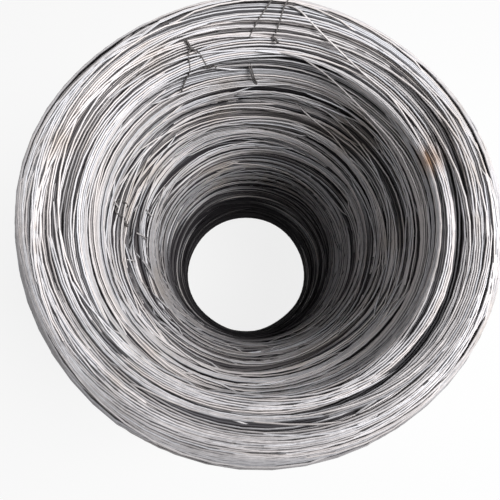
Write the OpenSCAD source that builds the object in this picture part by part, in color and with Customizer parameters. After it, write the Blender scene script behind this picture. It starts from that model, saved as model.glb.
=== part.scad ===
// Coil of black annealed wire, standing on its end.
// The coil is one turned solid: its wall is built of bundles, which show as rounds on the
// top end, down the widening mouth of the bore and up the outside. Each bundle is made of
// bands of turns, which show as ribs on its round.
// Four wire ties bind single bundles. The origin is on the floor, on the bore's axis.

/* [Wire] */
// Diameter of the wire, and of the ties cut from it
wire_d = 2.8; // [2:0.1:4]

/* [Bands] */
// Width of a band of turns on the round of a bundle
band_w = 11; // [9:0.5:16]
// Depth of the valley between two bands
band_deep = 3; // [1.5:0.5:4]

/* [Coil] */
// Diameter of the straight bore
bore_d = 400; // [300:5:500]
// Thickness of the wall, from the straight bore to the outside of the bundles
wall = 160; // [145:1:200]
// Height of the coil, without the ties
coil_h = 900; // [800:10:1100]
// Height at which the bore starts to widen
throat_h = 560; // [400:10:640]

/* [Top end] */
// How far the rim bundle lies inside the outside of the coil
rim_inset = 18; // [12:1:24]
// Radius of the rim bundle's round
rim_r = 30; // [28:1:34]
// Distance from the middle of the rim bundle in to the middle of the ring bundle
ring_inset = 40; // [37:1:43]
// Radius of the ring bundle's round
ring_r = 16; // [15:1:20]
// How far the ring bundle lies below the rim
ring_drop = 24; // [21:1:30]
// Radius of the ledge bundle's round, below the ring
ledge_r = 26; // [24:1:32]
// How far the ledge bundle lies below the rim
ledge_drop = 52; // [47:1:55]
// Distance from the middle of the ring bundle out to the middle of the ledge bundle
ledge_outset = 2; // [0:0.5:6]

/* [Outside] */
// Height of one bundle up the outside
outer_pitch = 44; // [34:1:50]
// How far a bundle stands out from the valleys beside it
outer_proud = 5; // [4:0.5:9]
// Height of the lowest bundle's middle
outer_foot = 56; // [46:1:70]
// Depth of the highest bundle's middle below the rim
shoulder_drop = 92; // [84:1:100]

/* [Bore] */
// Height of one bundle in the widening part of the bore
bore_pitch = 44; // [36:1:54]
// How far a bundle stands out from the valleys beside it
bore_proud = 7; // [5:1:10]

/* [Foot] */
// Radius of the round between the bore and the flat foot
lip_r = 35; // [20:1:45]
// Distance from the outside of the coil in to the flat foot
toe = 60; // [45:1:75]
// Number of grooves that part the bundles on the foot
foot_grooves = 2; // [1:1:3]
// Radius of a groove on the foot
foot_groove_r = 6; // [3:1:9]

/* [Ties] */
// Gap between a tie and the bundles that it lies on
tie_gap = 0.3; // [0.2:0.1:0.6]

/* [Hidden] */
steel = [0.32, 0.31, 0.31];
tie_steel = [0.22, 0.21, 0.21];

// A bundle is [radius from the axis, height, radius of its round].
bore_r = bore_d / 2;
coil_r = bore_r + wall;
rim = [coil_r - rim_inset - rim_r, coil_h - rim_r, rim_r];
ring = [rim[0] - ring_inset, coil_h - ring_drop - ring_r, ring_r];
ledge = [ring[0] + ledge_outset, coil_h - ledge_drop - ledge_r, ledge_r];

// Bundles up the outside: rounds that meet at the bottom of the valleys.
outer_span = coil_h - shoulder_drop - outer_foot;
outer_count = round(outer_span / outer_pitch);
outer_step = outer_span / outer_count;
outer_round = round_for(outer_step, outer_proud);
outer_bundles = [for (k = [0:outer_count]) [coil_r - outer_round, outer_foot + k * outer_step, outer_round]];
shoulder = outer_bundles[outer_count];

// Bundles in the widening part of the bore, from the throat up to the mouth inside the ledge.
mouth_r = ledge[0] - ledge_r;
ledge_seat = ledge[1] - ledge_r / 2;
bore_span = ledge_seat - throat_h;
bore_count = round(bore_span / bore_pitch);
bore_step = bore_span / bore_count;
bore_round = round_for(bore_step, bore_proud);
bore_bundles = [for (k = [0:bore_count - 1])
    let (z = throat_h + (k + 0.5) * bore_step)
    [crest_r(z) + bore_round, z, bore_round]];
mouth_bundle = bore_bundles[bore_count - 1];
tied_bundle = bore_bundles[bore_count - 2];
under_tied = bore_bundles[bore_count - 3];

// The bands of the highest bundle go on over its top, up to this angle.
top_way = 100;

// The core fills the wall behind the bundles, this far short of their valleys.
core_gap = 1;
core_out = coil_r - outer_proud - band_deep - core_gap;

// A band is a round as well, and its bundle is filled to just below the valleys.
band_r = round_for(band_w, band_deep);

// The flat foot, between the round of the bore's lip and the toe.
foot_in_r = bore_r + lip_r;
foot_out_r = coil_r - toe;
lip_steps = 6;

// Ties: the wire's sides, and its rings over a bundle and along a groove.
wire_r = wire_d / 2;
tie_lift = wire_r + tie_gap;
tie_sides = 8;
over_rings = 26;
groove_rings = 4;

// Radius of the round whose bulge has this height and stands this far out.
function round_for(pitch, proud) = (pitch * pitch / 4 + proud * proud) / (2 * proud);

// Angles of the bands on the round of a bundle, evenly over this many degrees either side of a way.
function band_count(b, spread) = max(1, round(2 * spread * PI / 180 * b[2] / band_w));
function band_turns(b, way, spread) = let (count = band_count(b, spread))
    [for (k = [0:count - 1]) way + spread * ((2 * k + 1) / count - 1)];

// Half the angle that a bundle in a row shows, from one valley to the next.
function shown(b, pitch) = asin(pitch / 2 / b[2]);

// Radius of the bore over its bundles, at a height above the throat.
function crest_r(z) = bore_r + (mouth_r - bore_r) * (z - throat_h) / (ledge[1] - throat_h);

// Where a tie that lies on bundle a also meets bundle b, as an angle about the middle of a.
function reach(a, b) = norm([b[0] - a[0], b[1] - a[1]]);
function heading(a, b) = atan2(b[1] - a[1], b[0] - a[0]);
function lifted(a) = a[2] + tie_lift;
function meet_angle(a, b) = acos(max(-1, min(1,
    (pow(lifted(a), 2) + pow(reach(a, b), 2) - pow(lifted(b), 2)) / (2 * lifted(a) * reach(a, b)))));

// The grooves beside bundle a, going over the coil from its outside into its bore.
function groove_before(a, b) = heading(a, b) + meet_angle(a, b);
function groove_after(a, b) = (heading(a, b) + 360) % 360 - meet_angle(a, b);

// A point at a radius, a height and an azimuth, which runs clockwise from +Y as seen from above.
function polar(r, z, azimuth) = [r * sin(azimuth), r * cos(azimuth), z];
function mix(a, b, share) = a + (b - a) * share;

// A station of a tie is its middle and the direction that points out of the bundle.
function station(b, turn, azimuth) = [
    polar(b[0] + lifted(b) * cos(turn), b[1] + lifted(b) * sin(turn), azimuth),
    polar(cos(turn), sin(turn), azimuth)];

// A hairpin: over the bundle from the far groove, along the near groove, and back over the bundle.
// The azimuths are those of its two ends in the far groove and its two bends in the near one.
function hairpin(b, far, near, ends, bends) = concat(
    [for (i = [0:over_rings - 1]) let (u = i / over_rings)
        station(b, mix(far, near, u), mix(ends[0], bends[0], u))],
    [for (i = [0:groove_rings]) station(b, near, mix(bends[0], bends[1], i / groove_rings))],
    [for (i = [1:over_rings]) let (u = i / over_rings)
        station(b, mix(near, far, u), mix(bends[1], ends[1], u))]);

// A tie: the wire swept along its stations.
module tie(path) {
    last = len(path) - 1;
    points = [for (i = [0:last]) let (
            along = path[min(i + 1, last)][0] - path[max(i - 1, 0)][0],
            across = cross(along, path[i][1]) / norm(cross(along, path[i][1])),
            out = cross(across, along) / norm(along))
        for (s = [0:tie_sides - 1]) let (a = 360 * s / tie_sides)
            path[i][0] + wire_r * (cos(a) * out + sin(a) * across)];
    sides = [for (i = [0:last - 1], s = [0:tie_sides - 1]) let (
            here = i * tie_sides, next = here + tie_sides, t = (s + 1) % tie_sides)
        [here + s, here + t, next + t, next + s]];
    start = [for (s = [0:tie_sides - 1]) tie_sides - 1 - s];
    end = [for (s = [0:tie_sides - 1]) last * tie_sides + s];
    color(tie_steel) polyhedron(points, concat([start], sides, [end]), convexity = 6);
}

module core_section() {
    lip = [for (k = [0:lip_steps]) let (a = 180 + 90 * k / lip_steps)
        [foot_in_r + lip_r * cos(a), lip_r + lip_r * sin(a)]];
    polygon(concat(lip, [
        [foot_out_r, 0],
        [core_out, outer_foot],
        [core_out, shoulder[1]],
        [rim[0], rim[1]],
        [ring[0], ring[1]],
        [ledge[0], ledge[1]],
        [mouth_bundle[0], mouth_bundle[1]],
        [bore_r + bore_proud + band_deep + core_gap, throat_h + bore_step],
        [bore_r, throat_h]]));
}

// A bundle, with bands on the part of its round that shows.
module bundle(b, way, spread) {
    translate([b[0], b[1]]) {
        circle(b[2] - band_deep - core_gap, $fn = 96);
        for (turn = band_turns(b, way, spread))
            rotate(turn) translate([b[2] - band_r, 0]) circle(band_r, $fn = 48);
    }
}

module coil_section() {
    difference() {
        intersection() {
            union() {
                core_section();
                for (b = outer_bundles) bundle(b, 0, shown(b, outer_step));
                for (b = bore_bundles) bundle(b, 180, shown(b, bore_step));
                for (b = [rim, ring, ledge]) bundle(b, 90, 180);
                bundle(shoulder, (shown(shoulder, outer_step) + top_way) / 2,
                    (top_way - shown(shoulder, outer_step)) / 2);
            }
            translate([bore_r, 0]) square([2 * wall, 2 * coil_h]);
        }
        for (k = [1:foot_grooves])
            translate([mix(foot_in_r, foot_out_r, k / (foot_grooves + 1)), 0])
                circle(foot_groove_r, $fn = 48);
    }
}

module wire_coil() {
    color(steel) rotate_extrude($fn = 180) coil_section();
}

// Over the rim, from the shoulder to the groove inside the rim.
module rim_tie() {
    tie(hairpin(rim, groove_before(rim, shoulder), groove_after(rim, ring), [5.2, 8], [-4, 4]));
}

// Over the ring, from the groove inside it to the groove below the rim.
module ring_tie() {
    tie(hairpin(ring, groove_after(ring, ledge), groove_before(ring, rim), [-27.5, -19], [-23.8, -22.2]));
}

// Over the ledge, from the groove below the ring to the groove under the ledge.
module ledge_tie() {
    tie(hairpin(ledge, groove_before(ledge, ring), groove_after(ledge, mouth_bundle),
        [-5, -3.6], [-2, -0.6]));
}

// Over the second bundle below the ledge, from the groove under it to the groove above it.
module bore_tie() {
    tie(hairpin(tied_bundle, groove_after(tied_bundle, under_tied), groove_before(tied_bundle, mouth_bundle),
        [-84.8, -79.5], [-83.6, -77.8]));
}

wire_coil();
rim_tie();
ring_tie();
ledge_tie();
bore_tie();
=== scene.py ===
"""A coil of black annealed wire on its end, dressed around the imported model, in metres.

The coil's outline is cut from the frame. Turns of wire are wound over it in layers: each layer
is one wire that goes round and round, in bands of turns that part and close again, so that the
layers below show in the gaps and cross the turns above. Small bands, single strands and a few
loose wires lie on top, and four wire ties bind the bundles. A plain core behind the turns
closes the view.
"""

import math
from collections import namedtuple

import bmesh
import bpy
import numpy as np
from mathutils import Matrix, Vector


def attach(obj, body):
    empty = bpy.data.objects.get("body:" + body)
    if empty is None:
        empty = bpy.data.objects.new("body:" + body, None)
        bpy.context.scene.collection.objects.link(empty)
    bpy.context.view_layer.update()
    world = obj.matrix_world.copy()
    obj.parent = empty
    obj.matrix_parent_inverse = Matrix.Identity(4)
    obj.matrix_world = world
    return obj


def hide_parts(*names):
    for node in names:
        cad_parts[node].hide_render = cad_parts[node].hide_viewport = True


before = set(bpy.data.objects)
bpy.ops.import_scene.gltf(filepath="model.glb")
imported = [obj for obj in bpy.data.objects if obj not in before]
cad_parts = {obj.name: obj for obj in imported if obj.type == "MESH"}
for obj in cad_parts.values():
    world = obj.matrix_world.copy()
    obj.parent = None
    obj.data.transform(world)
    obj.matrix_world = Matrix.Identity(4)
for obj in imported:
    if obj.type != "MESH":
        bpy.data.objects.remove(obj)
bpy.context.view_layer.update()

# Wire, and the steps and sides of one turn
WIRE_D = 0.0028
TURN_PITCH = 1.04 * WIRE_D
TURN_STEPS = 56
TURN_SIDES = 4
FULL_TURN = 2 * math.pi
STEPS_AT = np.arange(TURN_STEPS) / TURN_STEPS * FULL_TURN

# Seeds of the random layout
SEED = 1046
SWAY_SEED, LUMP_SEED, FILL_SEED = 1, 2, 3
LAYER_SEED, CROSSING_SEED = 10, 40

# Outline: its steps, where it is cut, and the widths over which it is eased
OUTLINE_STEP = 0.001
CUT_AZIMUTH = math.radians(33.3)
MERGE = 1e-5
NORMAL_BLUR = 0.008
BAND_REACH = 0.008
GROOVE_REACH = 0.034
GROOVE_BLUR = 0.009

# Uneven turns: how far they sway along the outline, rise and fall over it, and stand oval
SWAY, SWAY_STEP, SWAY_CYCLES = 0.004, 0.075, 2
LUMP, LUMP_STEP, LUMP_CYCLES = 0.0016, 0.045, 5
OVAL = 0.007

# Grooves: how far they are filled with turns
FILL_STEP, FILL_CYCLES = 0.2, 3
FILL_MEAN, FILL_VARY, FILL_LEAST, FILL_MOST = 0.6, 0.3, 0.15, 0.95

# Foot: the height over which the unevenness fades out, and the height of its lowest wires
FOOT_FADE = 0.04
FOOT_REST = 0.6 * WIRE_D

Region = namedtuple("Region", "name end cover band sink spread")
Strand = namedtuple("Strand", "points out rub cast radius")
Crossing = namedtuple("Crossing", "start span drift bow lift shine")


def smooth_step(x):
    x = np.clip(x, 0, 1)
    return x * x * (3 - 2 * x)


def blur(values, width):
    """A closed row of values, averaged over about this width of outline."""
    reach = int(3 * width / OUTLINE_STEP)
    weight = np.exp(-0.5 * (np.arange(-reach, reach + 1) * OUTLINE_STEP / width) ** 2)
    return np.convolve(np.pad(values, reach, mode="wrap"), weight / weight.sum(), "valid")


def widest(values, reach):
    """The largest value within a reach of each place on a closed row."""
    steps = int(reach / OUTLINE_STEP)
    longer = np.pad(values, steps, mode="wrap")
    return np.lib.stride_tricks.sliding_window_view(longer, 2 * steps + 1).max(-1)


def cut_outline(node):
    """The outline of a turned node on one side of its axis, as radii and heights in order."""
    bm = bmesh.new()
    bm.from_mesh(node.data)
    bmesh.ops.remove_doubles(bm, verts=bm.verts, dist=MERGE)
    side = Vector((math.sin(CUT_AZIMUTH), math.cos(CUT_AZIMUTH), 0))
    whole = bm.verts[:] + bm.edges[:] + bm.faces[:]
    cut = bmesh.ops.bisect_plane(bm, geom=whole, plane_co=(0, 0, 0), plane_no=(side.y, -side.x, 0))
    joined = {}
    for part in cut["geom_cut"]:
        if isinstance(part, bmesh.types.BMEdge) and side.dot(part.verts[0].co) > 0:
            for here, there in (part.verts, reversed(part.verts)):
                joined.setdefault(here, []).append(there)
    walk = [next(iter(joined))]
    left = set(joined) - {walk[0]}
    while left:
        onward = [v for v in joined[walk[-1]] if v in left]
        if not onward:
            break
        walk.append(onward[0])
        left.discard(onward[0])
    points = np.array([(side.dot(v.co), v.co.z) for v in walk])
    bm.free()
    return points


def even_outline(points):
    """The outline in even steps, from the middle of the foot up the bore, over and down the outside."""
    r, z = points.T
    if np.sum(r * np.roll(z, -1) - z * np.roll(r, -1)) > 0:
        r, z = r[::-1], z[::-1]
    foot = np.abs(z) < MERGE
    start = np.argmin(np.abs(r - r[foot].mean()) + z)
    r, z = (np.append(np.roll(x, -start), x[start]) for x in (r, z))
    along = np.append(0, np.cumsum(np.hypot(np.diff(r), np.diff(z))))
    s = np.arange(0, along[-1], OUTLINE_STEP)
    return s, np.interp(s, along, r), np.interp(s, along, z)


def directions_out(r, z):
    """The directions out of an outline, eased over its grooves."""
    r, z = blur(r, NORMAL_BLUR), blur(z, NORMAL_BLUR)
    dr, dz = (np.gradient(np.pad(x, 1, mode="wrap"))[1:-1] for x in (r, z))
    size = np.hypot(dr, dz)
    return -dz / size, dr / size


def over_bands(r, z):
    """The outline over the ribs on the solid's rounds, for the wires to lie on."""
    out_r, out_z = directions_out(r, z)
    proud = (r - blur(r, NORMAL_BLUR)) * out_r + (z - blur(z, NORMAL_BLUR)) * out_z
    valley = -widest(-widest(proud, BAND_REACH), BAND_REACH) - proud
    return np.stack([r + out_r * valley, z + out_z * valley], 1)


_, RIB_R, RIB_Z = even_outline(cut_outline(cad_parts["wire_coil"]))
OUTLINE_S, OUTLINE_R, OUTLINE_Z = even_outline(over_bands(RIB_R, RIB_Z))
LENGTH = OUTLINE_S[-1]


def groove_depths(normal_r, normal_z):
    """How deep the outline lies below the bundles beside it."""
    smooth_r, smooth_z = blur(OUTLINE_R, GROOVE_REACH / 2), blur(OUTLINE_Z, GROOVE_REACH / 2)
    proud = (OUTLINE_R - smooth_r) * normal_r + (OUTLINE_Z - smooth_z) * normal_z
    closed = -widest(-widest(proud, GROOVE_REACH), GROOVE_REACH)
    return blur(np.maximum(closed - proud, 0), GROOVE_BLUR)


NORMAL_R, NORMAL_Z = directions_out(OUTLINE_R, OUTLINE_Z)
GROOVE = groove_depths(NORMAL_R, NORMAL_Z)


def place_on(radius, height):
    """Where a point of the section lies along the outline."""
    return OUTLINE_S[np.argmin(np.hypot(OUTLINE_R - radius, OUTLINE_Z - height))]


def along_outline(s, *rows):
    """Rows of values of the outline, read at places along it."""
    return [np.interp(s, OUTLINE_S, row, period=LENGTH) for row in rows]


def swell(seed, step, cycles):
    """A smooth random value over the coil, about -1 to 1: waves round it that change along its outline."""
    rng = np.random.default_rng([SEED, seed])
    knots = rng.normal(0, 1 / math.sqrt(cycles), (2 * cycles, int(LENGTH / step) + 3))

    def value(s, azimuth):
        place = np.clip(s / step, 0, knots.shape[1] - 2)
        first = place.astype(int)
        share = smooth_step(place - first)
        height = knots[:, first] * (1 - share) + knots[:, first + 1] * share
        return sum(height[2 * k] * np.cos((k + 1) * azimuth) + height[2 * k + 1] * np.sin((k + 1) * azimuth)
                   for k in range(cycles))
    return value


sway = swell(SWAY_SEED, SWAY_STEP, SWAY_CYCLES)
lump = swell(LUMP_SEED, LUMP_STEP, LUMP_CYCLES)
fill = swell(FILL_SEED, FILL_STEP, FILL_CYCLES)

# The bundles stay open where a tie goes round them: azimuth and spread, in degrees
OPEN_AT = [(-8, 30), (-82, 12)]
OPEN_BY = 0.6
RIM_CREST = place_on(0.312, 0.900)


def groove_fill(s, azimuth):
    """How far the grooves are filled with turns, from 0 to 1."""
    full = np.clip(FILL_MEAN + FILL_VARY * fill(s, azimuth), FILL_LEAST, FILL_MOST)
    for middle, spread in OPEN_AT:
        apart = (np.degrees(azimuth) - middle + 180) % 360 - 180
        full = full * (1 - OPEN_BY * (s < RIM_CREST) * np.exp(-(apart / spread) ** 2))
    return full


def around(r, z, azimuth):
    """Points at an azimuth, which runs clockwise from +Y as seen from above."""
    return np.stack([r * np.sin(azimuth), r * np.cos(azimuth), z], -1)


def surface(s, azimuth, lift):
    """Points at a lift over the coil's surface, and the directions out of it."""
    s = s + SWAY * sway(s, azimuth)
    r, z, out_r, out_z, groove = along_outline(s, OUTLINE_R, OUTLINE_Z, NORMAL_R, NORMAL_Z, GROOVE)
    high = smooth_step(z / FOOT_FADE)
    lift = lift + high * (groove * groove_fill(s, azimuth) + LUMP * (lump(s, azimuth) - 1))
    r = (r + out_r * lift) * (1 - OVAL * np.cos(2 * azimuth))
    z = np.maximum(z + out_z * lift, FOOT_REST)
    return around(r, z, azimuth), around(out_r, out_z, azimuth)


# Regions along the outline, each to its end as (radius, height), with the share of the room
# that turns take in each layer, from the top layer down, the turns in a band, how far a band
# may sink below the outline, and how much the bands differ in tone
REGIONS = [
    Region("foot_in", (0.200, 0.035), (0.90, 0.97), (4, 12), 0.0, 0.2),
    Region("bore_low", (0.200, 0.300), (0.54, 0.90), (1, 4), 2.2 * WIRE_D, 1.4),
    Region("bore_high", (0.200, 0.560), (0.54, 0.76, 0.98), (1, 4), 1.8 * WIRE_D, 1.4),
    Region("mouth", (0.249, 0.816), (0.62, 0.76, 0.98), (1, 4), 1.3 * WIRE_D, 1.2),
    Region("crown", (0.342, 0.866), (0.73, 0.78, 0.86, 0.98), (1, 5), 1.0 * WIRE_D, 0.74),
    Region("outside_high", (0.360, 0.430), (0.80, 0.95), (1, 6), 0.9 * WIRE_D, 0.35),
    Region("outside_low", (0.345, 0.030), (0.80, 0.95), (1, 6), 0.9 * WIRE_D, 0.35),
    Region("foot_out", None, (0.90, 0.97), (4, 12), 0.0, 0.2),
]
ENDS = [place_on(*region.end) if region.end else LENGTH for region in REGIONS]
STARTS = [0.0] + ENDS[:-1]
LAYERS = max(len(region.cover) for region in REGIONS)
PIECE_REGIONS = {
    "foot_turns": ("foot_in", "foot_out"),
    "bore_turns_low": ("bore_low",),
    "bore_turns_high": ("bore_high",),
    "mouth_turns": ("mouth",),
    "crown_turns": ("crown",),
    "outside_turns_high": ("outside_high",),
    "outside_turns_low": ("outside_low",),
}

# Layers: the step down to the next one, and how far single turns sink
LAYER_STEP = 0.96 * WIRE_D
TURN_SINK = 0.25 * WIRE_D
SINK_MEAN, SINK_WAVE = 0.45, 0.36

# Gaps between turns, and the share of a gap that opens inside a band
GAP_OPEN, GAP_WAVE, GAP_EDGE, GAP_SPREAD = 0.3, 0.5, 5, 0.55
LOOSE_TURN = 0.35

# Each turn goes over to the next row within an arc, whose place is set again every few turns
CROSS_ARC, CROSS_EVERY = 1.3, 9

# Tone of the bands: how far they differ in wear and in the cast of the bright steel
BAND_TONE = 0.6
DEEP_SPREAD = 0.3
CAST_MEAN, CAST_VARY = 0.5, 0.25

# How far the oxide is rubbed bright, along the outline as (radius, height, share), and by layer. The shares
# also hold painted light, brightest on the top end, and painted shade, darker down the bore towards the foot
# and down the outside.
WEAR_AND_LIGHT_MARKS = [
    (0.200, 0.035, 0.04), (0.200, 0.300, 0.06), (0.200, 0.370, 0.15), (0.200, 0.420, 0.45),
    (0.200, 0.480, 0.80), (0.208, 0.600, 1.10), (0.224, 0.690, 1.30),
    (0.248, 0.822, 1.55), (0.256, 0.860, 1.50), (0.312, 0.900, 1.30), (0.342, 0.866, 1.05),
    (0.360, 0.800, 0.45), (0.360, 0.400, 0.34), (0.345, 0.030, 0.25),
]
WEAR_AND_LIGHT_S = [place_on(r, z) for r, z, _ in WEAR_AND_LIGHT_MARKS]
WEAR_AND_LIGHT_SHARE = [share for _, _, share in WEAR_AND_LIGHT_MARKS]
# By layer from the top down: the lower layers painted darker, as unrubbed oxide and as painted shade in the
# gaps between the turns above.
LAYER_WEAR_AND_SHADE = (1.0, 0.09, 0.04, 0.02)

# Painted shade starts higher up on one side of the bore, and painted light is brightest on one side of the
# top end
PAINTED_SHADE_TILT, PAINTED_SHADE_TILT_WAY = 0.165, math.radians(-148)
BORE_TOP, PAINTED_SHADE_TILT_FADE = place_on(0.248, 0.822), 0.18
# Painted light: the top end painted brighter on one side.
PAINTED_LIGHT_SIDE, PAINTED_LIGHT_SIDE_WAY, PAINTED_LIGHT_SIDE_FADE = 0.41, math.radians(-5), 0.05


def waves(rng, count, cycles, spread):
    """Rows of smooth random values round the coil."""
    total = np.zeros((count, TURN_STEPS))
    for cycle in cycles:
        size = rng.normal(0, spread, (count, 1))
        total += size * np.cos(cycle * STEPS_AT + rng.uniform(0, FULL_TURN, (count, 1)))
    return total


def gap_widths(rng, count):
    """How wide each gap stands open round the coil: shut on some stretches, a slit on others."""
    open_by = GAP_OPEN + waves(rng, count, (1, 2, 3), GAP_WAVE)
    return rng.lognormal(0, GAP_SPREAD, (count, 1)) * np.log1p(np.exp(GAP_EDGE * open_by)) / GAP_EDGE


def lay_rows(rng, start, end, cover, band):
    """Where each turn of a layer lies round the coil, and the band that it is in."""
    count = round((end - start) * cover / TURN_PITCH)
    first = np.cumsum(rng.integers(band[0], band[1] + 1, count))
    first = first[first < count]
    weight = np.full((count, 1), LOOSE_TURN)
    weight[first] = 1
    run = np.cumsum(weight * gap_widths(rng, count), 0)
    run *= (end - start - count * TURN_PITCH) / run[-1]
    in_band = np.searchsorted(first, np.arange(count), "right")
    return start + TURN_PITCH * (np.arange(count)[:, None] + 0.5) + run, in_band


def lay_region(rng, region, layer, start, end):
    """The rows of a layer in one region: their places, how far they sink, their wear and their cast."""
    at, in_band = lay_rows(rng, start, end, region.cover[layer], region.band)
    bands = in_band[-1] + 1
    spread = region.spread + DEEP_SPREAD * (layer > 0)
    sink = region.sink * smooth_step(SINK_MEAN + waves(rng, bands, (1, 2), SINK_WAVE))
    shine = waves(rng, bands, (1, 2, 3), spread / 2) + rng.normal(0, BAND_TONE * spread, (bands, 1))
    cast = CAST_MEAN + waves(rng, bands, (1, 2), CAST_VARY) + rng.normal(0, CAST_VARY, (bands, 1))
    sinks = sink[in_band] + rng.uniform(0, TURN_SINK, (len(at), 1))
    wear_and_light_rows = np.exp(shine)[in_band] * np.exp(rng.normal(0, spread, (len(at), 1)))
    return at, sinks, wear_and_light_rows, np.clip(cast, 0, 1)[in_band]


def wind(rows, cross_at):
    """One wire through all the rows: each turn goes over to the next row at its crossing."""
    share = smooth_step((STEPS_AT - cross_at[:, None]) / CROSS_ARC)
    return (rows[:-1] + (rows[1:] - rows[:-1]) * share).ravel()


def high_enough(s):
    """How far turns may sink below the outline: not at all under the foot."""
    return smooth_step(along_outline(s, OUTLINE_Z)[0] / FOOT_FADE)


def wear_and_light_at(s, azimuth):
    """How bright the wire is painted: the oxide rubbed bright, with painted light on the top end and painted
    shade down the bore. The brightness reaches further down one side of the bore, and the top is painted
    brightest on one side.
    """
    # Painted shade: the bore is darker higher up on one side.
    tilt = PAINTED_SHADE_TILT * np.cos(azimuth - PAINTED_SHADE_TILT_WAY) * smooth_step((BORE_TOP - s) / PAINTED_SHADE_TILT_FADE)
    # Painted light: one side of the top end painted brighter.
    side = PAINTED_LIGHT_SIDE * np.cos(azimuth - PAINTED_LIGHT_SIDE_WAY) * smooth_step((s - BORE_TOP) / PAINTED_LIGHT_SIDE_FADE)
    return np.interp(s - tilt, WEAR_AND_LIGHT_S, WEAR_AND_LIGHT_SHARE) * (1 + side)


def wind_layer(layer):
    """The wire of one layer, from the foot of the bore to the foot outside: its strands by region."""
    rng = np.random.default_rng([SEED, LAYER_SEED + layer])
    laid, owners = [], []
    for region, start, end in zip(REGIONS, STARTS, ENDS):
        if layer < len(region.cover):
            laid.append(lay_region(rng, region, layer, start, end))
            owners += [region.name] * len(laid[-1][0])
    turns = len(owners) - 1
    knots = rng.uniform(0, FULL_TURN - CROSS_ARC, turns // CROSS_EVERY + 2)
    cross_at = np.interp(np.arange(turns) / CROSS_EVERY, np.arange(len(knots)), knots)
    azimuth = np.tile(STEPS_AT, turns) + rng.uniform(0, FULL_TURN)
    s, sink, rub, cast = (wind(np.concatenate(rows), cross_at) for rows in zip(*laid))
    points, out = surface(s, azimuth, -WIRE_D / 2 - layer * LAYER_STEP - sink * high_enough(s))
    # The wear of each turn, with painted shade in the lower layers and painted light and shade along the
    # outline.
    rub = LAYER_WEAR_AND_SHADE[layer] * rub * wear_and_light_at(s, azimuth)
    strands = {}
    for name in dict.fromkeys(owners):
        first = owners.index(name)
        last = min(first + owners.count(name), turns)
        span = slice(first * TURN_STEPS, last * TURN_STEPS + 1)
        strands[name] = Strand(points[span], out[span], rub[span], cast[span], WIRE_D / 2)
    return strands


# A wire with few sides is made thicker, to cover as much as a round one, and its flanks are painted darker
# than its crest: the crest rubbed bright, painted shade down the flanks into the gaps between wires, and
# black on the underside
WIRE_FULLNESS = {4: 1.16, 8: 1.05}
FLANK_WEAR_AND_SHADE = 0.24


def tube_rings(strand, sides):
    """The corners of a round wire along a strand, and the cast and the brightness of each: its wear with
    painted light and shade.
    """
    along = np.gradient(strand.points, axis=0)
    along /= np.linalg.norm(along, axis=1, keepdims=True)
    across = np.cross(along, strand.out)
    across /= np.linalg.norm(across, axis=1, keepdims=True)
    out = np.cross(across, along)
    turn = np.arange(sides) / sides * FULL_TURN
    reach = strand.radius * WIRE_FULLNESS[sides]
    corners = (strand.points[:, None] + reach * np.cos(turn)[:, None] * out[:, None]
               + reach * np.sin(turn)[:, None] * across[:, None])
    # Rubbed crest, with painted shade on the flanks and underside.
    rub = strand.rub[:, None] * (FLANK_WEAR_AND_SHADE + (1 - FLANK_WEAR_AND_SHADE) * np.cos(turn))
    return corners.reshape(-1, 3), np.maximum(rub, 0).ravel(), np.repeat(strand.cast, sides)


def tube_faces(rings, sides):
    """The quads along a wire, the faces that close its ends, and the ring and side of each quad."""
    ring, side = np.divmod(np.arange((rings - 1) * sides), sides)
    after = (side + 1) % sides
    quads = np.stack([ring * sides + side, ring * sides + after,
                      (ring + 1) * sides + after, (ring + 1) * sides + side], 1)
    ends = np.array([np.arange(sides)[::-1], (rings - 1) * sides + np.arange(sides)])
    return quads, ends, ring, side


def turn_map(row, ring, side, sides):
    """Where the quads of a wire lie on its map, which has a row for each turn."""
    left = ring % TURN_STEPS / TURN_STEPS
    right = left + 1 / TURN_STEPS
    low = row + ring // TURN_STEPS + side / sides
    high = low + 1 / sides
    return np.stack([left, low, left, high, right, high, right, low], 1)


def fill_mesh(mesh, places, quads, ends):
    """The corners and faces of joined wires: the quads first, then the faces that close the ends."""
    corner = np.concatenate([quads.ravel(), ends.ravel()])
    start = np.concatenate([np.arange(len(quads)) * 4, quads.size + np.arange(len(ends)) * ends.shape[1]])
    mesh.vertices.add(len(places))
    mesh.vertices.foreach_set("co", places.ravel())
    mesh.loops.add(len(corner))
    mesh.loops.foreach_set("vertex_index", corner)
    mesh.polygons.add(len(start))
    mesh.polygons.foreach_set("loop_start", start)
    mesh.update(calc_edges=True)
    mesh.shade_smooth()


def wire_piece(name, strands, sides, material, node):
    """One piece of joined wires, with a map for finishes that follow the wire."""
    places, wear_and_light_rows, casts, quads, ends, maps = [], [], [], [], [], []
    base, row = 0, 0
    for strand in strands:
        rings = len(strand.points)
        corners, rub, cast = tube_rings(strand, sides)
        sides_of, ends_of, ring, side = tube_faces(rings, sides)
        places.append(corners)
        wear_and_light_rows.append(rub)
        casts.append(cast)
        quads.append(sides_of + base)
        ends.append(ends_of + base)
        maps.append(turn_map(row, ring, side, sides))
        base += len(corners)
        row += (rings - 2) // TURN_STEPS + 1
    mesh = bpy.data.meshes.new(name)
    ends = np.concatenate(ends)
    fill_mesh(mesh, np.concatenate(places), np.concatenate(quads), ends)
    flat = np.concatenate([np.concatenate(maps).reshape(-1, 2), np.zeros((ends.size, 2))])
    mesh.uv_layers.new(name="OFBake").uv.foreach_set("vector", (flat / (1, row)).ravel())
    # Each corner's wear with its painted light and shade, and its cast.
    for attribute, values in (("rub", wear_and_light_rows), ("cast", casts)):
        mesh.attributes.new(attribute, "FLOAT", "POINT").data.foreach_set("value", np.concatenate(values))
    add_piece(bpy.data.objects.new(name, mesh), material, node)


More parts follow.
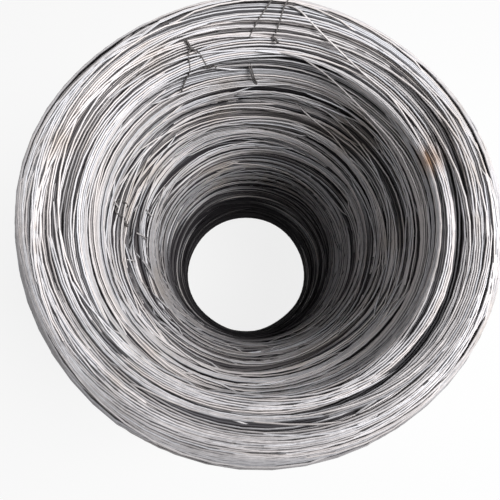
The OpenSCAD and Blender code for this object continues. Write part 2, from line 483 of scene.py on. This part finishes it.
def add_piece(piece, material, node):
    """Puts a finished piece in the scene, in place of a node of the solid model."""
    bpy.context.scene.collection.objects.link(piece)
    piece.data.materials.append(material)
    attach(piece, "root")
    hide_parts(node)


# Colours of the wire: the oxide, the bright steel in a warm and a cool cast, and its stains
OXIDE = (0.020, 0.017, 0.021, 1)
TIE_OXIDE = (0.040, 0.033, 0.030, 1)
WARM = (0.690, 0.645, 0.635, 1)
COOL = (0.600, 0.600, 0.630, 1)
TAN = (0.40, 0.31, 0.22, 1)
RUST = (0.30, 0.17, 0.09, 1)

# Patterns of the finish: their scales, and how far each shows
PATCH_SCALE, SPECK_SCALE, GRAIN_SCALE, STAIN_SCALE = 16, 150, 900, 9
PATCH_WEAR, PATCH_LEAST, SPECK_WEAR = 0.7, 0.65, 0.5
STAIN_FROM, STAIN_TO, STAIN_MOST = 0.56, 0.72, 0.45
OXIDE_ROUGH, BRIGHT_ROUGH, GRAIN_ROUGH = 0.60, 0.48, 0.12
BRIGHT_METAL = 0.3
SPECULAR = 0.25
BUMP_STRENGTH, BUMP_DEPTH = 0.35, 0.0002

# A streak of rust on the ring
RUST_AT = Vector(around(0.261, 0.872, math.radians(71)))
RUST_REACH, RUST_MOST = 0.03, 1.4

FINISH_INPUTS = {
    "Rub": "Float", "Cast": "Float", "Oxide": "Color", "Warm": "Color", "Cool": "Color",
    "Stain": "Color", "Rust": "Color",
}
FINISH_OUTPUTS = {"Color": "Color", "Roughness": "Float", "Metallic": "Float", "Height": "Float"}


def add_node(tree, kind, inputs=(), **settings):
    """A node with its settings, and its inputs as values or as the sockets that feed them."""
    node = tree.nodes.new(kind)
    for name, value in settings.items():
        setattr(node, name, value)
    for name, value in dict(inputs).items():
        if isinstance(value, bpy.types.NodeSocket):
            tree.links.new(value, node.inputs[name])
        else:
            node.inputs[name].default_value = value
    return node


def maths(tree, operation, a, b=0.0, c=0.0, clamp=False):
    inputs = {0: a, 1: b, 2: c}
    return add_node(tree, "ShaderNodeMath", inputs, operation=operation, use_clamp=clamp).outputs[0]


def mix_colour(tree, share, a, b):
    inputs = {"Factor": share, "A": a, "B": b}
    return add_node(tree, "ShaderNodeMix", inputs, data_type="RGBA").outputs["Result"]


def noise(tree, at, scale, detail):
    inputs = {"Vector": at, "Scale": scale, "Detail": detail}
    return add_node(tree, "ShaderNodeTexNoise", inputs).outputs["Fac"]


def map_range(tree, value, start, end, low, high):
    """A value from a start to an end, made to run from low to high and no further."""
    inputs = {"Value": value, "From Min": start, "From Max": end, "To Min": low, "To Max": high}
    return add_node(tree, "ShaderNodeMapRange", inputs).outputs["Result"]


def worn_and_lit_share(tree, rub, patch, speck):
    """How far the bright steel shows: the input's wear with its painted light and shade, in patches, with
    flecks of oxide left.
    """
    worn_and_lit = maths(tree, "MULTIPLY", rub, maths(tree, "MULTIPLY_ADD", patch, PATCH_WEAR, PATCH_LEAST))
    flecks = maths(tree, "MULTIPLY", maths(tree, "SUBTRACT", speck, 0.5), SPECK_WEAR)
    return maths(tree, "ADD", worn_and_lit, maths(tree, "MULTIPLY", flecks, rub), clamp=True)


def rust_share(tree, at, patch):
    """How far the streak of rust covers the wire."""
    apart = add_node(tree, "ShaderNodeVectorMath", {0: at, 1: RUST_AT}, operation="DISTANCE")
    near = map_range(tree, apart.outputs["Value"], 0, RUST_REACH, RUST_MOST, 0)
    return maths(tree, "MULTIPLY", near, patch, clamp=True)


def annealed_group():
    """The finish of annealed wire: black oxide, rubbed bright in patches and stained in a few places, with
    the painted light and shade of its input in the bright share.
    """
    tree = bpy.data.node_groups.new("annealed_finish", "ShaderNodeTree")
    for way, sockets in (("INPUT", FINISH_INPUTS), ("OUTPUT", FINISH_OUTPUTS)):
        for name, kind in sockets.items():
            tree.interface.new_socket(name, in_out=way, socket_type="NodeSocket" + kind)
    given = tree.nodes.new("NodeGroupInput").outputs
    at = tree.nodes.new("ShaderNodeTexCoord").outputs["Object"]
    patch = noise(tree, at, PATCH_SCALE, 4)
    speck = noise(tree, at, SPECK_SCALE, 2)
    grain = noise(tree, at, GRAIN_SCALE, 2)
    worn_and_lit = worn_and_lit_share(tree, given["Rub"], patch, speck)
    bright = mix_colour(tree, given["Cast"], given["Cool"], given["Warm"])
    colour = mix_colour(tree, worn_and_lit, given["Oxide"], bright)
    stain = map_range(tree, noise(tree, at, STAIN_SCALE, 5), STAIN_FROM, STAIN_TO, 0, STAIN_MOST)
    colour = mix_colour(tree, maths(tree, "MULTIPLY", stain, worn_and_lit), colour, given["Stain"])
    colour = mix_colour(tree, rust_share(tree, at, patch), colour, given["Rust"])
    rough = map_range(tree, worn_and_lit, 0, 1, OXIDE_ROUGH, BRIGHT_ROUGH)
    results = {
        "Color": colour,
        "Roughness": maths(tree, "ADD", rough, maths(tree, "MULTIPLY", grain, GRAIN_ROUGH)),
        "Metallic": maths(tree, "MULTIPLY", worn_and_lit, BRIGHT_METAL),
        "Height": maths(tree, "ADD", grain, speck),
    }
    put = tree.nodes.new("NodeGroupOutput").inputs
    for name, value in results.items():
        tree.links.new(value, put[name])
    return tree


def annealed_material(name, group, oxide):
    material = bpy.data.materials.new(name)
    material.use_nodes = True
    tree = material.node_tree
    shader = tree.nodes["Principled BSDF"]
    finish = add_node(tree, "ShaderNodeGroup", node_tree=group)
    for socket, attribute in (("Rub", "rub"), ("Cast", "cast")):
        read = add_node(tree, "ShaderNodeAttribute", attribute_name=attribute)
        tree.links.new(read.outputs["Fac"], finish.inputs[socket])
    for socket, colour in (("Oxide", oxide), ("Warm", WARM), ("Cool", COOL), ("Stain", TAN), ("Rust", RUST)):
        finish.inputs[socket].default_value = colour
    relief = {"Height": finish.outputs["Height"], "Strength": BUMP_STRENGTH, "Distance": BUMP_DEPTH}
    bump = add_node(tree, "ShaderNodeBump", relief)
    for socket, value in (("Base Color", "Color"), ("Roughness", "Roughness"), ("Metallic", "Metallic")):
        tree.links.new(finish.outputs[value], shader.inputs[socket])
    tree.links.new(bump.outputs["Normal"], shader.inputs["Normal"])
    shader.inputs["Specular IOR Level"].default_value = SPECULAR
    return material


# Core behind the turns
CORE_STEP = 0.014
CORE_TURNS = 72
CORE_RUB = 0.02
CORE_BACK = 0.008


def core_piece(material):
    """A plain turned core that closes the view behind the turns."""
    s = np.arange(0, LENGTH, CORE_STEP)
    depths = [len(region.cover) * LAYER_STEP + region.sink + CORE_BACK for region in REGIONS]
    depth = np.interp(s, np.repeat(STARTS + [LENGTH], 2)[1:-1], np.repeat(depths, 2))
    r, z, out_r, out_z = along_outline(s, OUTLINE_R, OUTLINE_Z, NORMAL_R, NORMAL_Z)
    bm = bmesh.new()
    rub = bm.verts.layers.float.new("rub")
    ring = [bm.verts.new(point) for point in around(r - out_r * depth, z - out_z * depth, np.zeros_like(s))]
    for vert in ring:
        vert[rub] = CORE_RUB
    loop = [bm.edges.new((a, b)) for a, b in zip(ring, ring[1:] + ring[:1])]
    bmesh.ops.spin(bm, geom=ring + loop, cent=(0, 0, 0), axis=(0, 0, 1), angle=FULL_TURN,
                   steps=CORE_TURNS, use_merge=True)
    bmesh.ops.recalc_face_normals(bm, faces=bm.faces)
    mesh = bpy.data.meshes.new("coil_core")
    bm.to_mesh(mesh)
    bm.free()
    mesh.shade_smooth()
    add_piece(bpy.data.objects.new("coil_core", mesh), material, "wire_coil")


# Wires that cross the turns: where they start along the outline, their spans round the coil, how
# far they drift and bow along the outline, their lifts in wires and their shine
CROSSING_END = place_on(0.350, 0.830)
BAND = Crossing(place_on(0.200, 0.430), (0.8, 2.6), 0.014, 0.006, (0.4, 0.8), (0.75, 1.1))
TOP_BAND = BAND._replace(start=place_on(0.256, 0.860), span=(1.6, 3.2), drift=0.030)
SINGLE = BAND._replace(span=(0.6, 2.0), drift=0.022, bow=0.008, lift=(0.4, 0.9), shine=(0.9, 1.25))
SLANT = Crossing(place_on(0.202, 0.580), (0.8, 1.4), 0.03, 0.006, (0.3, 0.7), (0.7, 1.1))

# Bands of a few wires, one in three of them on the top end, and single wires
CROSSING_BANDS, CROSSING_SINGLES = 130, 180
TOP_EVERY = 3
BAND_MOST = 4
BAND_SHIFT, BAND_SHINE = 0.06, (0.85, 1.1)
CROSSING_RUB = 0.12

# Slanting wires, from the left side of the bore down to its near side
SLANTED = 12
SLANT_AZIMUTH, SLANT_SPREAD = math.radians(-128), 0.16
SLANT_DRIFT, SLANT_SCATTER = 0.13, 0.035
SLANT_RUB = 0.85

# The ends of a crossing wire sink into the turns
END_SINK, END_SHARE = 4 * WIRE_D, 0.14
ARC_STEP, ARC_LEAST = FULL_TURN / TURN_STEPS, 8


def crossing_arc(rng, s, azimuth, span, drift, bow, top, rub, least=CROSSING_RUB):
    """A wire that rises out of the turns, lies across them and sinks in again."""
    share = np.linspace(0, 1, max(ARC_LEAST, int(span / ARC_STEP)))
    rise = smooth_step(share / END_SHARE) * smooth_step((1 - share) / END_SHARE)
    path = s + drift * (share - 0.5) + bow * np.sin(math.pi * share)
    lift = top - (1 - rise) * END_SINK
    turn = azimuth + span * (share - 0.5)
    points, out = surface(path, turn, lift)
    # The wear with its painted light and shade along the outline, at least this much.
    shine = rub * np.maximum(wear_and_light_at(path, turn), least)
    return Strand(points, out, shine, np.full(len(path), rng.uniform()), WIRE_D / 2)


def crossing_bands(rng):
    """Small bands of wires that lie side by side across the turns."""
    strands = []
    for number in range(CROSSING_BANDS):
        kind = BAND if number % TOP_EVERY else TOP_BAND
        s = rng.uniform(kind.start, CROSSING_END)
        azimuth = rng.uniform(0, FULL_TURN)
        span = rng.uniform(*kind.span)
        bow = rng.normal(0, kind.bow)
        drift = rng.normal(0, kind.drift)
        top = rng.uniform(*kind.lift) * WIRE_D
        rub = rng.uniform(*kind.shine)
        for wire in range(rng.integers(1, BAND_MOST + 1)):
            shift = rng.normal(0, BAND_SHIFT)
            strands.append(crossing_arc(rng, s + wire * TURN_PITCH, azimuth + shift, span + shift,
                                        drift, bow, top, rub * rng.uniform(*BAND_SHINE)))
    return strands


def single_strand(rng, kind, s, azimuth, lean, least):
    """One wire across the turns, which leans along the outline by about this much."""
    span = rng.uniform(*kind.span)
    drift = rng.normal(lean, kind.drift)
    bow = rng.normal(0, kind.bow)
    top = rng.uniform(*kind.lift) * WIRE_D
    rub = rng.uniform(*kind.shine)
    return crossing_arc(rng, s, azimuth, span, drift, bow, top, rub, least)


def crossing_singles(rng):
    """Single wires that cross the turns all over the coil."""
    strands = []
    for _ in range(CROSSING_SINGLES):
        s = rng.uniform(SINGLE.start, CROSSING_END)
        azimuth = rng.uniform(0, FULL_TURN)
        strands.append(single_strand(rng, SINGLE, s, azimuth, 0, CROSSING_RUB))
    return strands


def slanting_strands(rng):
    """Single wires that come down the bore at a slant."""
    strands = []
    for _ in range(SLANTED):
        s = SLANT.start + rng.normal(0, SLANT_SCATTER)
        azimuth = SLANT_AZIMUTH + rng.normal(0, SLANT_SPREAD)
        strands.append(single_strand(rng, SLANT, s, azimuth, SLANT_DRIFT, SLANT_RUB))
    return strands


def crossing_piece(material):
    rng = np.random.default_rng([SEED, CROSSING_SEED])
    strands = crossing_bands(rng) + crossing_singles(rng) + slanting_strands(rng)
    wire_piece("crossing_strands", strands, TURN_SIDES, material, "wire_coil")


# Loose wires and ties, through stops of (radius, height, azimuth in degrees, lift in wires)
STOP_STEPS = 12
BEND_STEPS = 4
LOOSE_SIDES = 8
LOOSE_RUB, LOOSE_CAST = 1.0, 0.8
LOOSE_WIRES = [
    [(0.326, 0.897, 3, -2), (0.317, 0.900, 9, 1.0), (0.2945, 0.894, 16.8, 1.6), (0.2688, 0.8757, 35.4, 1.9),
     (0.268, 0.875, 45.5, 1.0), (0.264, 0.874, 52, 1.0), (0.260, 0.871, 63, 0.6), (0.257, 0.866, 73, -2)],
    [(0.266, 0.874, 6, -2), (0.262, 0.872, 13, 0.8), (0.256, 0.856, 24, 1.2), (0.253, 0.838, 34.5, 1.0),
     (0.250, 0.833, 60, 0.8), (0.250, 0.832, 78, 0.6), (0.249, 0.828, 90, -2)],
    [(0.241, 0.772, 15, -2), (0.236, 0.758, 23.5, 0.8), (0.233, 0.740, 37, 1.0), (0.230, 0.720, 50.5, 0.8),
     (0.228, 0.708, 60, -2)],
    [(0.241, 0.788, -77, 0.2), (0.240, 0.776, -79.5, 1.0), (0.238, 0.764, -81.5, 0.6)],
    [(0.222, 0.668, -74.5, 0.4), (0.220, 0.654, -75, 1.2), (0.217, 0.638, -75.6, 0.5)],
    [(0.226, 0.684, -87.5, 0.4), (0.222, 0.664, -88, 1.1), (0.217, 0.642, -88.6, 0.4)],
    [(0.233, 0.726, -101.5, 0.4), (0.230, 0.706, -101.8, 1.0), (0.227, 0.686, -101.2, 0.4)],
]
TIE_R = 0.42 * WIRE_D
TIE_RUB, TIE_CAST = 0.16, 0.5
TIES = {
    "rim_tie": [
        [(0.343, 0.856, 5.2, 0.6), (0.336, 0.888, 3.6, 0.9), (0.312, 0.900, 1.0, 0.9),
         (0.292, 0.893, -2.2, 0.9), (0.2825, 0.876, -4, 0.8), (0.2825, 0.876, -1, 0.3),
         (0.2825, 0.876, 3, 0.6), (0.292, 0.893, 4.6, 0.9), (0.312, 0.900, 5.6, 0.9),
         (0.336, 0.888, 7.2, 0.9), (0.343, 0.856, 8, 0.6)],
    ],
    "ring_tie": [
        [(0.250, 0.832, -31, 0.8), (0.2545, 0.840, -29.5, 0.8), (0.2615, 0.847, -27.5, 0.8),
         (0.2565, 0.856, -26.8, 0.9), (0.259, 0.868, -25.8, 0.9), (0.272, 0.876, -24.6, 0.9),
         (0.2815, 0.874, -23.2, 1.0)],
        [(0.2815, 0.874, -22.8, 1.0), (0.272, 0.876, -21.4, 0.9), (0.259, 0.868, -20.2, 0.9),
         (0.2565, 0.856, -19.2, 0.9), (0.258, 0.860, -17.4, 1.6), (0.2565, 0.857, -16.6, 2.2)],
    ],
    "ledge_tie": [
        [(0.2615, 0.847, -4.7, 0.6), (0.2525, 0.836, -3.8, 0.9), (0.248, 0.822, -2.8, 0.9),
         (0.2505, 0.811, -1.8, 0.8), (0.2505, 0.811, -1.1, 0.8), (0.248, 0.822, -2.1, 0.9),
         (0.2525, 0.836, -3.1, 0.9), (0.2615, 0.847, -3.9, 0.6)],
    ],
    "bore_tie": [
        [(0.238, 0.728, -84.8, 0.7), (0.2345, 0.745, -84.3, 0.9), (0.239, 0.766, -83.6, 0.7),
         (0.239, 0.767, -80.5, 0.4), (0.239, 0.766, -77.8, 0.7), (0.2345, 0.745, -78.6, 0.9),
         (0.238, 0.728, -79.5, 0.7)],
    ],
}

# Twisted ends of the ties: their stops, and how many times they are twisted
KNOTS = {
    "rim_tie": ([(0.2825, 0.876, 3, 1.0), (0.279, 0.875, 3.9, 1.8), (0.272, 0.876, 5, 2.6)], 2.5),
    "ring_tie": ([(0.2795, 0.8745, -22.9, 0.9), (0.284, 0.879, -23.2, 1.6), (0.290, 0.889, -23.9, 2.2)], 3),
    "bore_tie": ([(0.238, 0.730, -84.7, 0.9), (0.236, 0.727, -85.8, 1.7), (0.235, 0.722, -87, 2.0)], 2),
}


def eased(rows, at):
    """Rows of values at places between their stops, on a smooth curve."""
    last = rows.shape[1] - 1
    first = np.clip(at.astype(int), 0, last - 1)
    t = at - first
    a, b, c, d = (rows[:, np.clip(first + k, 0, last)] for k in (-1, 0, 1, 2))
    return b + 0.5 * t * (c - a + t * (2 * a - 5 * b + 4 * c - d + t * (3 * (b - c) + d - a)))


def straight_between(values, at):
    """Rows of values on straight lines between their stops, with the bends eased."""
    lines = np.stack([np.interp(at, np.arange(len(values)), row) for row in values.T], 1)
    longer = np.pad(lines, ((BEND_STEPS, BEND_STEPS), (0, 0)), mode="edge")
    return np.mean([longer[k:k + len(lines)] for k in range(2 * BEND_STEPS + 1)], 0)


def laid_wire(stops, rub, cast, radius, taut=False):
    """A wire laid over the coil through its stops. A taut one goes straight from stop to stop."""
    r, z, azimuth, lift = np.array(stops).T
    rows = np.stack([[place_on(*place) for place in zip(r, z)], np.radians(azimuth), lift * WIRE_D])
    at = np.linspace(0, len(stops) - 1, (len(stops) - 1) * STOP_STEPS + 1)
    if taut:
        points, out = (straight_between(values, at) for values in surface(*rows))
    else:
        points, out = surface(*eased(rows, at))
    return Strand(points, out, np.full(len(at), rub), np.full(len(at), cast), radius)


def twisted_ends(stops, turns):
    """The two ends of a tie, twisted together."""
    middle = laid_wire(stops, TIE_RUB, TIE_CAST, TIE_R)
    along = np.gradient(middle.points, axis=0)
    across = np.cross(along, middle.out)
    across /= np.linalg.norm(across, axis=1, keepdims=True)
    ends = []
    for start in (0, math.pi):
        turn = start + np.linspace(0, turns * FULL_TURN, len(along))[:, None]
        out = np.cos(turn) * middle.out + np.sin(turn) * across
        ends.append(middle._replace(points=middle.points + TIE_R * out, out=out))
    return ends


def tie_pieces(material):
    for node, wires in TIES.items():
        strands = [laid_wire(stops, TIE_RUB, TIE_CAST, TIE_R) for stops in wires]
        if node in KNOTS:
            strands += twisted_ends(*KNOTS[node])
        wire_piece(node + "_wire", strands, LOOSE_SIDES, material, node)


def loose_piece(material):
    strands = [laid_wire(stops, LOOSE_RUB, LOOSE_CAST, WIRE_D / 2, taut=True) for stops in LOOSE_WIRES]
    wire_piece("loose_wires", strands, LOOSE_SIDES, material, "wire_coil")


# Camera, floor and light
CAMERA_AT = (-0.0398, -0.1412, 1.4273)
CAMERA_TURN = (0.1587, -0.0377, 0)
CAMERA_LENS, CAMERA_SENSOR, CAMERA_NEAR = 28.66, 36, 0.01
FLOOR_SIZE = 40
FLOOR_COLOUR = (0.86, 0.86, 0.86, 1)
FLOOR_ROUGH = 0.9
BACKGROUND_SHARE = 0.84
LIGHT_AIM = (0, 0, 0.7)
LIGHT_WAY = (1.0, -0.07)
LIGHT_HEIGHT = math.radians(60)
LIGHT_FAR, LIGHT_SIZE, LIGHT_POWER = 3.0, 1.6, 123
SKY = 0.18


def seen_rays(tree):
    """1 for rays that show the background: from the camera, or off a polished or through a clear surface."""
    path = tree.nodes.new("ShaderNodeLightPath").outputs
    shown = maths(tree, "ADD", path["Is Camera Ray"], path["Is Glossy Ray"], clamp=True)
    return maths(tree, "ADD", shown, path["Is Transmission Ray"], clamp=True)


def add_camera():
    camera = bpy.data.objects.new("camera", bpy.data.cameras.new("camera"))
    camera.data.lens, camera.data.sensor_width = CAMERA_LENS, CAMERA_SENSOR
    camera.location, camera.rotation_euler = CAMERA_AT, CAMERA_TURN
    camera.data.clip_start = CAMERA_NEAR
    bpy.context.scene.collection.objects.link(camera)
    bpy.context.scene.camera = camera


def floor_material():
    """A pale floor that shows as near white, with some of the coil's shadow left on it."""
    material = bpy.data.materials.new("pale_floor")
    material.use_nodes = True
    tree = material.node_tree
    shader = tree.nodes["Principled BSDF"]
    shader.inputs["Base Color"].default_value = FLOOR_COLOUR
    shader.inputs["Roughness"].default_value = FLOOR_ROUGH
    shader.inputs["Specular IOR Level"].default_value = 0
    glow = add_node(tree, "ShaderNodeEmission", {"Strength": 1.0})
    share = maths(tree, "MULTIPLY", seen_rays(tree), BACKGROUND_SHARE)
    blend = add_node(tree, "ShaderNodeMixShader", {0: share, 1: shader.outputs[0], 2: glow.outputs[0]})
    tree.links.new(blend.outputs[0], tree.nodes["Material Output"].inputs["Surface"])
    return material


def add_floor():
    bm = bmesh.new()
    bmesh.ops.create_grid(bm, x_segments=1, y_segments=1, size=FLOOR_SIZE / 2)
    mesh = bpy.data.meshes.new("floor")
    bm.to_mesh(mesh)
    bm.free()
    mesh.materials.append(floor_material())
    floor = bpy.data.objects.new("floor", mesh)
    bpy.context.scene.collection.objects.link(floor)


def add_lamp():
    lamp = bpy.data.lights.new("lamp", "AREA")
    lamp.energy, lamp.size = LIGHT_POWER, LIGHT_SIZE
    light = bpy.data.objects.new("lamp", lamp)
    flat = Vector(LIGHT_WAY).normalized() * math.cos(LIGHT_HEIGHT)
    way = Vector((flat.x, flat.y, math.sin(LIGHT_HEIGHT)))
    light.location = Vector(LIGHT_AIM) + way * LIGHT_FAR
    light.rotation_euler = way.to_track_quat("Z", "Y").to_euler()
    bpy.context.scene.collection.objects.link(light)


def add_sky():
    world = bpy.data.worlds.new("studio")
    bpy.context.scene.world = world
    world.use_nodes = True
    tree = world.node_tree
    back = tree.nodes["Background"]
    back.inputs["Color"].default_value = (1, 1, 1, 1)
    strength = maths(tree, "MULTIPLY_ADD", seen_rays(tree), 1 - SKY, SKY)
    tree.links.new(strength, back.inputs["Strength"])


def build():
    bpy.context.scene.view_settings.view_transform = "Standard"
    add_camera()
    add_floor()
    add_lamp()
    add_sky()
    group = annealed_group()
    wire = annealed_material("annealed_wire", group, OXIDE)
    core_piece(wire)
    layers = [wind_layer(layer) for layer in range(LAYERS)]
    for name, regions in PIECE_REGIONS.items():
        strands = [layer[region] for layer in layers for region in regions if region in layer]
        wire_piece(name, strands, TURN_SIDES, wire, "wire_coil")
    crossing_piece(wire)
    loose_piece(wire)
    tie_pieces(annealed_material("tie_wire", group, TIE_OXIDE))


build()
